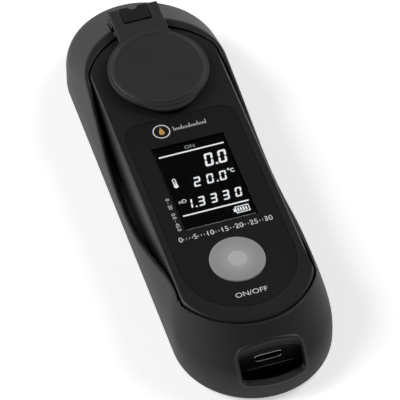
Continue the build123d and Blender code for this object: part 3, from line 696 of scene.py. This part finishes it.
class BuildBoot(BuildStep):
    """Make the soft outer boot"""

    bl_idname = "refractometer.boot"
    bl_label = "Boot"

    def execute(self, context):
        size = context.scene.refractometer_boot
        finishes = context.scene.refractometer_finish
        half_length = boot_high.y
        sample = 0.0001
        bead_inset, bead_fillet = 0.0002, 0.0006
        hollow_round, scoop_round, notch_round, window_round = 0.00025, 0.0004, 0.0003, 0.0002
        notch_corner = 0.0008

        def bevel_run(depth, reach, slope, blend):
            tangent = blend * tan((pi / 2 - slope) / 2)
            start = reach * tan(slope) - tangent * sin(slope)
            end = reach * tan(slope) + tangent
            arc = reach - blend + np.sqrt(np.maximum(blend**2 - (end - depth) ** 2, 0))
            return np.where(depth < start, depth / tan(slope), np.where(depth > end, reach, arc))

        def shell(x, y, z, inset, drop):
            depth = size.face_height - drop - z
            share = np.clip(depth / size.side_drop, 0, 1)
            fall = 1 - (1 - share) ** size.side_fullness
            low_half = size.half_width - size.low_flare * (1 - fall) - inset
            high_half = size.half_width - size.high_flare * (1 - fall) - inset
            low_run = bevel_run(depth, size.low_bevel, size.low_slope, size.low_blend)
            high_run = bevel_run(depth, size.high_bevel, size.high_slope, size.high_blend)
            low_end = -half_length + size.low_bevel - low_run + inset
            high_end = half_length - size.high_bevel + high_run - inset
            return long_outline(x, y, low_end, high_end, low_half, high_half)

        def outside(x, y, z):
            here = shell(x, y, z, 0, 0)
            lean = (shell(x, y, z + sample, 0, 0) - here) / sample
            return here / np.hypot(1, lean)

        middle = (size.scoop_low + size.scoop_high) / 2
        half = (size.scoop_high - size.scoop_low) / 2
        slope = size.scoop_slope
        deepest = half * tan(slope) - size.scoop_floor * (1 / cos(slope) - 1)
        shoulder_end = half + size.scoop_shoulder * tan(slope / 2)

        def above_scoop(y, z):
            away = np.abs(y - middle)
            floor = size.scoop_floor - np.sqrt(np.maximum(size.scoop_floor**2 - away**2, 0))
            floor = floor - deepest
            ramp = -(half - away) * tan(slope)
            rest = np.maximum(shoulder_end - away, 0)
            crest = np.sqrt(np.maximum(size.scoop_shoulder**2 - rest**2, 0)) - size.scoop_shoulder
            line = np.where(away < size.scoop_floor * sin(slope), floor, ramp)
            line = np.where(away > shoulder_end - size.scoop_shoulder * sin(slope), crest, line)
            return (size.face_height + line - z) * cos(slope / 2)

        def window(x, y, z):
            side = np.abs(x) - size.window_half
            top = round_common(side, y - size.window_top, size.window_corner)
            sill = round_common(side, size.window_sill - z, size.window_corner)
            return np.maximum(top, sill)

        def boot(x, y, z):
            skin = outside(x, y, z)
            solid = round_common(skin, -z, size.base_round)
            solid = round_common(solid, z - size.face_height, size.rim_round)
            opening = window(x, y, z)
            bead = np.hypot(skin + bead_inset, opening - 0.5 * size.bead) - size.bead
            solid = round_join(solid, bead, bead_fillet)
            hollow = np.maximum(shell(x, y, z, size.wall, size.roof), size.floor - z)
            face = drum(
                x, y, size.opening_half, size.opening_low, size.opening_high,
                size.opening_end, size.opening_corner,
            )
            hollow = np.minimum(hollow, np.maximum(face, size.floor - z))
            solid = round_cut(solid, hollow, hollow_round)
            solid = round_cut(solid, above_scoop(y, z), scoop_round)
            notch_middle = (size.notch_high + middle) / 2
            notch_reach = size.notch_high - notch_middle
            notch = plate(x, y - notch_middle, size.notch_half, notch_reach, notch_corner)
            solid = round_cut(solid, np.maximum(notch, size.notch_floor - z), notch_round)
            return round_cut(solid, opening, window_round)

        low = (-size.half_width, -half_length, 0)
        high = (size.half_width, half_length, size.face_height)
        pitch = size.pitch * 1
        piece = field_mesh("boot_skin", boot, low, high, pitch)
        material = rubber(
            "boot_rubber", tuple(finishes.boot), roughness=0.5, grain_scale=3500, grain_depth=0.00003
        )
        finish_piece(piece, BOOT_BODY, material, ["rubber_boot"])
        return {"FINISHED"}


class BuildCover(BuildStep):
    """Make the cover over the sample well"""

    bl_idname = "refractometer.cover"
    bl_label = "Cover"

    def execute(self, context):
        size = context.scene.refractometer_cover
        finishes = context.scene.refractometer_finish
        well_y = (dish_low.y + dish_high.y) / 2
        hinge_y = (pin_low.y + pin_high.y) / 2
        hinge_z = (pin_low.z + pin_high.z) / 2
        arm_inside = size.strap_half - size.arm_width
        crisp, soft_edge, inner_edge, bore_edge = 0.0002, 0.0004, 0.00025, 0.0001
        lobe_fillet, knuckle_fillet = 0.0006, 0.0003
        ridge_sink, gap_reach = 0.0001, 0.02

        def cover(x, y, z):
            across = np.hypot(x, y - well_y)
            cap = across - size.radius
            strap_start = well_y + size.radius / 2
            strap_middle = (strap_start + hinge_y) / 2
            strap = plate(x, y - strap_middle, size.strap_half, hinge_y - strap_middle)
            plan = round_join(cap, strap, size.strap_flare)
            disc = round_common(cap, z - size.top, size.edge_round)
            band = round_common(plan, z - size.strap_top, soft_edge)
            solid = np.minimum(disc, band)
            lobe_y = well_y - size.lobe_reach + size.lobe_radius
            lobe = np.hypot(x, y - lobe_y) - size.lobe_radius
            lobe = round_common(lobe, z - size.underside - size.lobe_thickness, soft_edge)
            solid = round_join(solid, lobe, lobe_fillet)
            solid = round_common(solid, size.underside - z, crisp)
            ridge = np.hypot(across - size.ridge_radius, z - size.top + ridge_sink)
            solid = round_join(solid, ridge - size.ridge_thickness / 2, inner_edge)
            barrel = np.hypot(y - hinge_y, z - hinge_z)
            heel = plate(y - hinge_y, z - hinge_z, size.knuckle, size.knuckle, soft_edge)
            heel = np.maximum(np.maximum(heel, hinge_y - y), hinge_z - z)
            side = np.abs(x) - size.strap_half
            knuckle = np.maximum(np.minimum(barrel - size.knuckle, heel), side)
            solid = round_join(solid, knuckle, knuckle_fillet)
            solid = np.where(y > size.crotch, round_common(solid, side, crisp), solid)
            gap = plate(x, y - size.crotch - gap_reach, arm_inside, gap_reach, size.crotch_corner)
            solid = round_cut(solid, gap, inner_edge)
            solid = round_cut(solid, barrel - size.bore, bore_edge)
            hollow = np.maximum(across - size.hollow, z - size.ceiling)
            return round_cut(solid, hollow, crisp)

        low = (-size.radius, well_y - size.lobe_reach, hinge_z - size.knuckle)
        high = (size.radius, hinge_y + size.knuckle, size.top + size.ridge_thickness)
        pitch = size.pitch * 1
        piece = field_mesh("cover_shell", cover, low, high, pitch)
        material = rubber(
            "cover_rubber", tuple(finishes.cover), roughness=0.58, grain_scale=4500, grain_depth=0.00002
        )
        finish_piece(piece, COVER_BODY, material, ["prism_cover"])
        return {"FINISHED"}


class BuildKey(BuildStep):
    """Make the round key"""

    bl_idname = "refractometer.key"
    bl_label = "Key"

    def execute(self, context):
        size = context.scene.refractometer_key
        finishes = context.scene.refractometer_finish
        centre = ((key_low.x + key_high.x) / 2, (key_low.y + key_high.y) / 2)
        top = key_high.z
        rise, roof, gap, pinhole = 0.0004, 0.0022, 0.00025, 0.0002
        groove_half, groove_depth, edge_steps, crown_steps = 0.00045, 0.00012, 8, 30
        flange_low = top - rise - roof - gap - size.flange_thickness
        profile = [
            (pinhole, key_low.z),
            (size.stem_radius, key_low.z),
            (size.stem_radius, flange_low),
            (size.flange_radius, flange_low),
            (size.flange_radius, flange_low + size.flange_thickness),
            (size.radius, flange_low + size.flange_thickness),
        ]
        edge_top = top - size.crown
        for step in range(edge_steps + 1):
            turn = pi / 2 * step / edge_steps
            profile.append((
                size.radius - size.edge_round * (1 - cos(turn)),
                edge_top - size.edge_round * (1 - sin(turn)),
            ))
        flat = size.radius - size.edge_round
        for step in range(1, crown_steps):
            radius = flat * (1 - step / crown_steps)
            crown = size.crown * (1 - (radius / flat) ** 2)
            off = (radius - size.dimple_radius) / groove_half
            groove = groove_depth * np.exp(-off * off)
            profile.append((radius, edge_top + crown - groove))
        piece = turned_piece("key_cap", profile, centre)
        material = key_plastic("key_plastic", tuple(finishes.key), centre, size.dimple_radius)
        finish_piece(piece, KEY_BODY, material, ["power_button"])
        return {"FINISHED"}


SEGMENTS = {
    "0": "abcdef", "1": "bc", "2": "abged", "3": "abgcd", "4": "fgbc",
    "5": "afgcd", "6": "afgedc", "7": "abc", "8": "abcdefg", "9": "abcdfg",
}


def digit_shapes(text, right, low, width, height, stroke, gap):
    """Slanted seven-segment digits that end at a right edge; a point stands in a gap."""
    shapes = []
    cursor = right
    half = stroke / 2
    slant = 0.17
    trim = 0.12 * stroke
    for sign in reversed(text):
        if sign == ".":
            point = cursor + 0.6 * gap
            shapes.append(bar(point - half, low, point + half, low + stroke))
            continue
        left = cursor - width
        middle = low + height / 2
        spans = {
            "a": (left, low + height - half, cursor, low + height - half),
            "g": (left, middle, cursor, middle),
            "d": (left, low + half, cursor, low + half),
            "f": (left + half, middle, left + half, low + height),
            "e": (left + half, low, left + half, middle),
            "b": (cursor - half, middle, cursor - half, low + height),
            "c": (cursor - half, low, cursor - half, middle),
        }
        for name in SEGMENTS[sign]:
            x0, y0, x1, y1 = spans[name]
            if y0 == y1:
                a, b = x0 + trim, x1 - trim
                shapes.append([
                    (a, y0), (a + half, y0 + half), (b - half, y0 + half),
                    (b, y0), (b - half, y0 - half), (a + half, y0 - half),
                ])
            else:
                a, b = y0 + trim, y1 - trim
                shapes.append([
                    (x0, a), (x0 - half, a + half), (x0 - half, b - half),
                    (x0, b), (x0 + half, b - half), (x0 + half, a + half),
                ])
        cursor = left - gap
    level = low + height / 2
    return [[(x + slant * (y - level), y) for x, y in shape] for shape in shapes]


def bar(x0, y0, x1, y1):
    """A rectangle's four corners."""
    return [(x0, y0), (x1, y0), (x1, y1), (x0, y1)]


def disc(x, y, radius, steps=24):
    """A circle's points."""
    turns = [2 * pi * n / steps for n in range(steps)]
    return [(x + radius * cos(t), y + radius * sin(t)) for t in turns]


def ring(x, y, radius, stroke, steps=24, start=0.0, sweep=2 * pi):
    """A ring or part of one, as short quads."""
    inner, outer = radius - stroke / 2, radius + stroke / 2
    shapes = []
    for n in range(steps):
        a, b = start + sweep * n / steps, start + sweep * (n + 1) / steps
        corners = ((inner, a), (outer, a), (outer, b), (inner, b))
        shapes.append([(x + away * cos(turn), y + away * sin(turn)) for away, turn in corners])
    return shapes


def lettering(name, text, x, y, height, low, thickness, turn=0.0, stretch=1.0):
    """Words as a thin mesh that lies on a surface."""
    capital_share = 0.69
    curve = bpy.data.curves.new(name, "FONT")
    curve.body = text
    curve.size = height / capital_share
    curve.align_x = "CENTER"
    curve.align_y = "CENTER"
    curve.extrude = thickness / 2
    curve.resolution_u = 6
    words = link(name, curve)
    words.matrix_world = (
        Matrix.Translation((x, y, low + thickness / 2))
        @ Matrix.Rotation(turn, 4, "Z")
        @ Matrix.Diagonal((stretch, 1, 1, 1))
    )
    bpy.context.view_layer.update()
    shown = words.evaluated_get(bpy.context.evaluated_depsgraph_get())
    mesh = bpy.data.meshes.new_from_object(shown)
    mesh.transform(words.matrix_world)
    bpy.data.objects.remove(words)
    bpy.data.curves.remove(curve)
    return link(name, mesh)


class BuildSocket(BuildStep):
    """Make the rolled lip of the charging socket and the case's edge under it"""

    bl_idname = "refractometer.socket"
    bl_label = "Socket"

    def execute(self, context):
        finishes = context.scene.refractometer_finish
        low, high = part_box("usb_shell")
        rolled, steps = 0.0002, 48
        end = (high.z - low.z) / 2 - rolled
        straight = (high.x - low.x) / 2 - rolled - end
        middle = (low.z + high.z) / 2
        path = []
        for step in range(steps):
            turn = 2 * pi * step / steps
            x = end * cos(turn) + straight * (1 if cos(turn) > 0 else -1)
            path.append((x, middle + end * sin(turn)))
        rim = lip("socket_lip", path, low.y - rolled / 2, rolled, closed=True)
        polished = steel("polished_lip", tuple(finishes.steel), roughness=0.16)
        finish_piece(rim, BOOT_BODY, polished)

        half, edge, setback, steps = 0.0074, 0.00016, 0.0014, 12
        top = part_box("lower_case")[1].z
        path = [(-half + 2 * half * step / steps, top - edge) for step in range(steps + 1)]
        ledge = lip("case_ledge", path, low.y - setback, edge, closed=False)
        # The ledge is the case's edge in a far lighter grey than the case: a painted highlight, on top
        # of the real shine that its round catches
        plastic = moulded(
            "ledge_plastic", (0.12, 0.12, 0.12), roughness=0.3, grain_scale=5200, grain_depth=0.000002
        )
        finish_piece(ledge, BOOT_BODY, plastic)
        return {"FINISHED"}


# The display's rows: reading, right edge, low edge over the window's middle, width and height of a
# digit, stroke and gap
DIGIT_ROWS = (
    ("first_reading", 0.0096, 0.0057, 0.0026, 0.0049, 0.00068, 0.0016),
    ("second_reading", 0.0072, -0.0008, 0.0021, 0.0036, 0.00052, 0.0019),
    ("third_reading", 0.0095, -0.0082, 0.0020, 0.0035, 0.00052, 0.0018),
)

# Bars of two signs, round the sign's own place: left, low, right, high
THERMOMETER_BARS = (
    (-0.00055, 0.0005, -0.00029, 0.0024),
    (0.00029, 0.0005, 0.00055, 0.0024),
    (-0.00012, 0.0005, 0.00012, 0.0017),
)
CHARGE_LEFT, CHARGE_PITCH, CHARGE_WIDTH = -0.0013, 0.00082, 0.0005
BATTERY_BARS = (
    (-0.0019, 0.0010, 0.0024, 0.0013),
    (-0.0019, -0.0013, 0.0024, -0.0010),
    (0.0021, -0.0010, 0.0024, 0.0010),
    (-0.0019, -0.0010, -0.0016, 0.0010),
    (-0.0025, -0.0006, -0.0019, 0.0006),
    *(
        (CHARGE_LEFT + n * CHARGE_PITCH, -0.0007, CHARGE_LEFT + n * CHARGE_PITCH + CHARGE_WIDTH, 0.0007)
        for n in range(4)
    ),
)


class BuildReadout(BuildStep):
    """Make the lit segments of the display"""

    bl_idname = "refractometer.readout"
    bl_label = "Readout"

    def execute(self, context):
        size = context.scene.refractometer_display
        panel_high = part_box("lcd_panel")[1]
        lift, thickness = 0.00002, 0.00003
        low = panel_high.z + lift
        mid = (glass_low.y + glass_high.y) / 2
        rule_left, rule_right, rule_stroke = -0.0099, 0.0104, 0.0005
        shapes = [
            bar(rule_left, mid + y, rule_right, mid + y + rule_stroke) for y in (0.0129, -0.0106)
        ]
        for reading, right, base, *form in DIGIT_ROWS:
            shapes += digit_shapes(getattr(size, reading), right, mid + base, *form)

        degree_x, degree_y = 0.0084, mid + 0.0028
        celsius_x, celsius_y = 0.0096, mid + 0.0021
        shapes += ring(degree_x, degree_y, radius=0.00028, stroke=0.0002)
        shapes += ring(
            celsius_x, celsius_y, radius=0.00062, stroke=0.00026, steps=16,
            start=radians(50), sweep=radians(260),
        )

        bulb_x, bulb_y, bulb_radius = -0.0083, mid + 0.0012, 0.0007
        stem_head, stem_radius, stem_stroke = 0.0024, 0.00042, 0.00026
        shapes += [disc(bulb_x, bulb_y, bulb_radius)]
        shapes += ring(bulb_x, bulb_y + stem_head, stem_radius, stem_stroke, 12, 0, pi)
        battery = (0.0074, mid - 0.0129)
        for (x, y), bars in (((bulb_x, bulb_y), THERMOMETER_BARS), (battery, BATTERY_BARS)):
            shapes += [bar(x + x0, y + y0, x + x1, y + y1) for x0, y0, x1, y1 in bars]
        material = lit("segment_light", tuple(size.segment_light))
        readout = raised_shapes("readout", shapes, low, low + thickness)
        finish_piece(readout, BOOT_BODY, material)

        dim = lit("segment_dim", tint(size.segment_light, 0.35))
        for name, text, x, y, height, stretch, shade in (
            ("index_sign", "nD", -0.0083, -0.0050, 0.0013, 1.1, material),
            ("state_sign", "ON", 0.0002, 0.0147, 0.0012, 1.2, dim),
        ):
            sign = lettering(name, text, x, mid + y, height, low, thickness, stretch=stretch)
            finish_piece(sign, BOOT_BODY, shade)
        return {"FINISHED"}


class BuildPrint(BuildStep):
    """Make the marks printed on the face"""

    bl_idname = "refractometer.print"
    bl_label = "Print"

    def execute(self, context):
        size = context.scene.refractometer_display
        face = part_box("face_overlay")[1].z
        key_y = (key_low.y + key_high.y) / 2
        mid = (glass_low.y + glass_high.y) / 2
        white = ink("white_ink", tuple(size.print_colour))
        accent = ink("amber_ink", tuple(size.accent_colour))
        thickness = 0.00002

        def put_shapes(name, outlines, material=white):
            piece = raised_shapes(name, outlines, face, face + thickness)
            finish_piece(piece, BOOT_BODY, material)

        def put_words(name, text, x, y, height, turn=0.0, stretch=1.0):
            piece = lettering(name, text, x, y, height, face, thickness, turn, stretch)
            finish_piece(piece, BOOT_BODY, white)

        # A drop in a ring, with a ruler beside it
        sign_x, sign_y = -0.0062, mid + 0.0222
        drop_radius, drop_sink, drop_tip, drop_steps = 0.00085, 0.0004, 0.0017, 20
        drop = [(sign_x, sign_y + drop_tip)]
        for n in range(drop_steps + 1):
            turn = radians(35) - radians(250) * n / drop_steps
            x, y = sign_x + drop_radius * cos(turn), sign_y - drop_sink + drop_radius * sin(turn)
            drop.append((x, y))
        put_shapes("sign_drop", [drop], accent)
        put_shapes("sign_ring", ring(sign_x, sign_y, radius=0.0025, stroke=0.00035, steps=40))
        ruler_x, ruler_y, ruler_pitch, tick_half = -0.0024, sign_y - 0.0008, 0.0005, 0.00009
        ticks = []
        for n in range(21):
            x, tall = ruler_x + n * ruler_pitch, 0.0009 if n % 5 else 0.0017
            ticks.append(bar(x - tick_half, ruler_y, x + tick_half, ruler_y + tall))
        put_shapes("sign_ticks", ticks)

        # The scale over the key: a number at each fifth mark and a tick at the others
        scale_x, scale_y, scale_pitch, scale_end = -0.0135, mid - 0.0194, 0.0009, 30
        mark_half, mark_reach = 0.00008, 0.0003
        places = [(n, scale_x + n * scale_pitch) for n in range(scale_end + 1)]
        put_shapes("scale_ticks", [
            bar(x - mark_half, scale_y - mark_reach, x + mark_half, scale_y + mark_reach)
            for n, x in places if n % 5
        ])
        for n, x in places[::5]:
            put_words(f"scale_number_{n}", str(n), x, scale_y, height=0.0018)
        range_x, range_y, label_y = -0.0127, mid - 0.0096, key_y - 0.0129
        ranges = "0 - 20   0.0 - 45.0"
        put_words("range_numbers", ranges, range_x, range_y, 0.0011, turn=-pi / 2, stretch=1.15)
        put_words("key_label", size.key_label, 0, label_y, height=0.0017, stretch=1.1)
        return {"FINISHED"}


class DressNodes(BuildStep):
    """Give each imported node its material"""

    bl_idname = "refractometer.dress"
    bl_label = "Materials"

    def execute(self, context):
        finishes = context.scene.refractometer_finish
        metal = tuple(finishes.steel)
        well_centre = ((dish_low.x + dish_high.x) / 2, (dish_low.y + dish_high.y) / 2)
        seal = soft("seal_rubber", (0.02, 0.02, 0.021), 0.6, 4000, 0.00001)
        liner = soft("liner_silicone", (0.22, 0.22, 0.225), 0.5, 2500, 0.00001)
        foam = soft("pad_foam", (0.05, 0.05, 0.055), 0.9, 1500, 0.0001)
        case = moulded("case_plastic", tuple(finishes.case), 0.42, 5200, 0.00002)
        panel = moulded("panel_film", tuple(finishes.panel), 0.38, 9000, 0.000006)
        lcd = moulded("lcd_face", (0.0003, 0.0003, 0.0004), 0.3, 9000, 0.000001, shine=0.1)
        chip = moulded("chip_black", (0.012, 0.012, 0.013), 0.4, 6000, 0.000005)
        white = moulded("white_plastic", (0.75, 0.75, 0.73), 0.4, 4000, 0.000008)
        bare_steel = steel("bare_steel", metal, 0.28, stretch=(1, 0.05, 1))
        socket_steel = steel("socket_steel", metal, 0.2, stretch=(0.1, 1, 0.1))
        foil = steel("cell_foil", (0.62, 0.63, 0.66), 0.35)
        dish = turned_steel("dish_steel", metal, well_centre)
        window = clear("window_glass", (0.92, 0.93, 0.94), ior=1.45, roughness=0.02)
        glass = clear("optical_glass", (0.97, 0.98, 1.0), ior=1.62, roughness=0.0)
        lens = clear("lamp_lens", (1.0, 0.72, 0.35), ior=1.5, roughness=0.05)
        board = printed_board("solder_mask")
        groups = (
            (seal, "rubber_boot prism_cover case_seal prism_seal"),
            (liner, "cover_liner"),
            (foam, "battery_pad"),
            (case, "upper_case lower_case optics_block"),
            (panel, "face_overlay"),
            (lcd, "lcd_panel"),
            (chip, "tact_switch usb_tongue line_sensor temperature_probe"),
            (white, "backlight_tray power_button"),
            (bare_steel, "case_screws board_screws charge_board_screws optics_screws hinge_pin"),
            (socket_steel, "usb_shell"),
            (foil, "battery_cell"),
            (dish, "sample_well"),
            (window, "display_window"),
            (glass, "prism focus_lens"),
            (lens, "lamp"),
            (board, "main_board charge_board light_board sensor_board"),
        )
        chosen = {name: material for material, names in groups for name in names.split()}
        if set(chosen) != set(nodes):
            raise RuntimeError(f"not one material each: {sorted(set(nodes) ^ set(chosen))}")
        for name, material in chosen.items():
            nodes[name].data.materials.clear()
            nodes[name].data.materials.append(material)
        return {"FINISHED"}


class BuildStudio(BuildStep):
    """Make the floor, the lamps and the camera"""

    bl_idname = "refractometer.studio"
    bl_label = "Studio"

    def execute(self, context):
        size = context.scene.refractometer_studio
        scene = context.scene
        turn, lift = size.azimuth, size.elevation
        back = Vector((sin(turn) * cos(lift), -cos(turn) * cos(lift), sin(lift)))
        right = Vector((cos(turn), sin(turn), 0))
        view = bpy.data.cameras.new("camera")
        view.lens = size.focal_length
        view.sensor_width = 36
        view.clip_end = 20
        camera = bpy.data.objects.new("camera", view)
        scene.collection.objects.link(camera)
        basis = Matrix((right, back.cross(right), back)).transposed().to_4x4()
        camera.matrix_world = Matrix.Translation(Vector(size.target) + back * size.distance) @ basis
        scene.camera = camera

        reach = 3
        corners = [(-reach, -reach, 0), (reach, -reach, 0), (reach, reach, 0), (-reach, reach, 0)]
        floor = mesh_piece("floor", corners, [(0, 1, 2, 3)])
        finish = Finish("studio_floor")
        rays = {
            name: finish.node("ShaderNodeLightPath", output=name)
            for name in ("Is Camera Ray", "Is Glossy Ray", "Is Transmission Ray")
        }
        seen_glow, mirrored_glow = 0.5, 0.4
        mirrored = rays["Is Glossy Ray"] + rays["Is Transmission Ray"]
        seen = seen_glow * rays["Is Camera Ray"] + mirrored_glow * mirrored
        matt = finish.node("ShaderNodeBsdfDiffuse", values={"Color": tuple(size.floor_colour)})
        glow = finish.node("ShaderNodeEmission", values={"Color": (1, 1, 1), "Strength": seen})
        both = finish.node("ShaderNodeAddShader", values={0: matt, 1: glow})
        floor.data.materials.append(finish.done(both))

        lamp_size = 0.8
        for name, place, power in (
            ("left_lamp", (-1.15, 0.4, 1.05), 15.5),
            ("right_lamp", (1.2, 0.3, 1.0), 11.5),
        ):
            data = bpy.data.lights.new(name, "AREA")
            data.shape = "RECTANGLE"
            data.size, data.size_y, data.energy = lamp_size, lamp_size, power
            light = bpy.data.objects.new(name, data)
            scene.collection.objects.link(light)
            light.location = place
            light.rotation_euler = (-Vector(place)).to_track_quat("-Z", "Y").to_euler()

        world = scene.world or bpy.data.worlds.new("studio_world")
        scene.world = world
        sky = Finish("studio_sky", world)
        direction = sky.node("ShaderNodeTexCoord", output="Generated")
        height = sky.node("ShaderNodeSeparateXYZ", values={0: direction}, output="Z")
        across = sky.node("ShaderNodeSeparateXYZ", values={0: direction}, output="X")
        dark = sky.ramp(height, sin(size.horizon_low), sin(size.horizon_high))
        side_low, side_high, side_dimming = 0.1, 0.8, 0.55
        dim_side = 1 - side_dimming * sky.ramp(across, side_low, side_high)
        strength = size.horizon_light * (1 - dark) * dim_side + size.sky_light * dark
        glow = sky.node("ShaderNodeBackground", values={"Color": (1, 1, 1), "Strength": strength})
        sky.done(glow, "ShaderNodeOutputWorld")
        scene.view_settings.view_transform = "Standard"
        return {"FINISHED"}


class RefractometerPanel(bpy.types.Panel):
    """Steps and sizes of the refractometer"""

    bl_idname = "VIEW3D_PT_refractometer"
    bl_label = "Refractometer"
    bl_space_type = "VIEW_3D"
    bl_region_type = "UI"
    bl_category = "Refractometer"

    def draw(self, context):
        for step in STEPS:
            self.layout.operator(step.bl_idname)
        for key, group in GROUPS.items():
            box = self.layout.box()
            for name in group.__annotations__:
                box.prop(getattr(context.scene, key), name)


STEPS = (BuildBoot, BuildCover, BuildKey, BuildSocket, BuildReadout, BuildPrint, DressNodes, BuildStudio)
GROUPS = {
    "refractometer_boot": BootSettings,
    "refractometer_cover": CoverSettings,
    "refractometer_key": KeySettings,
    "refractometer_display": DisplaySettings,
    "refractometer_finish": FinishSettings,
    "refractometer_studio": StudioSettings,
}


def register():
    for kind in (*GROUPS.values(), *STEPS, RefractometerPanel):
        bpy.utils.register_class(kind)
    for key, group in GROUPS.items():
        setattr(bpy.types.Scene, key, PointerProperty(type=group))


def unregister():
    for key in GROUPS:
        delattr(bpy.types.Scene, key)
    for kind in reversed((*GROUPS.values(), *STEPS, RefractometerPanel)):
        bpy.utils.unregister_class(kind)


def main():
    register()
    bpy.ops.refractometer.boot()
    bpy.ops.refractometer.cover()
    bpy.ops.refractometer.key()
    bpy.ops.refractometer.socket()
    bpy.ops.refractometer.readout()
    bpy.ops.refractometer.print()
    bpy.ops.refractometer.dress()
    bpy.ops.refractometer.studio()


if __name__ == "__main__":
    main()
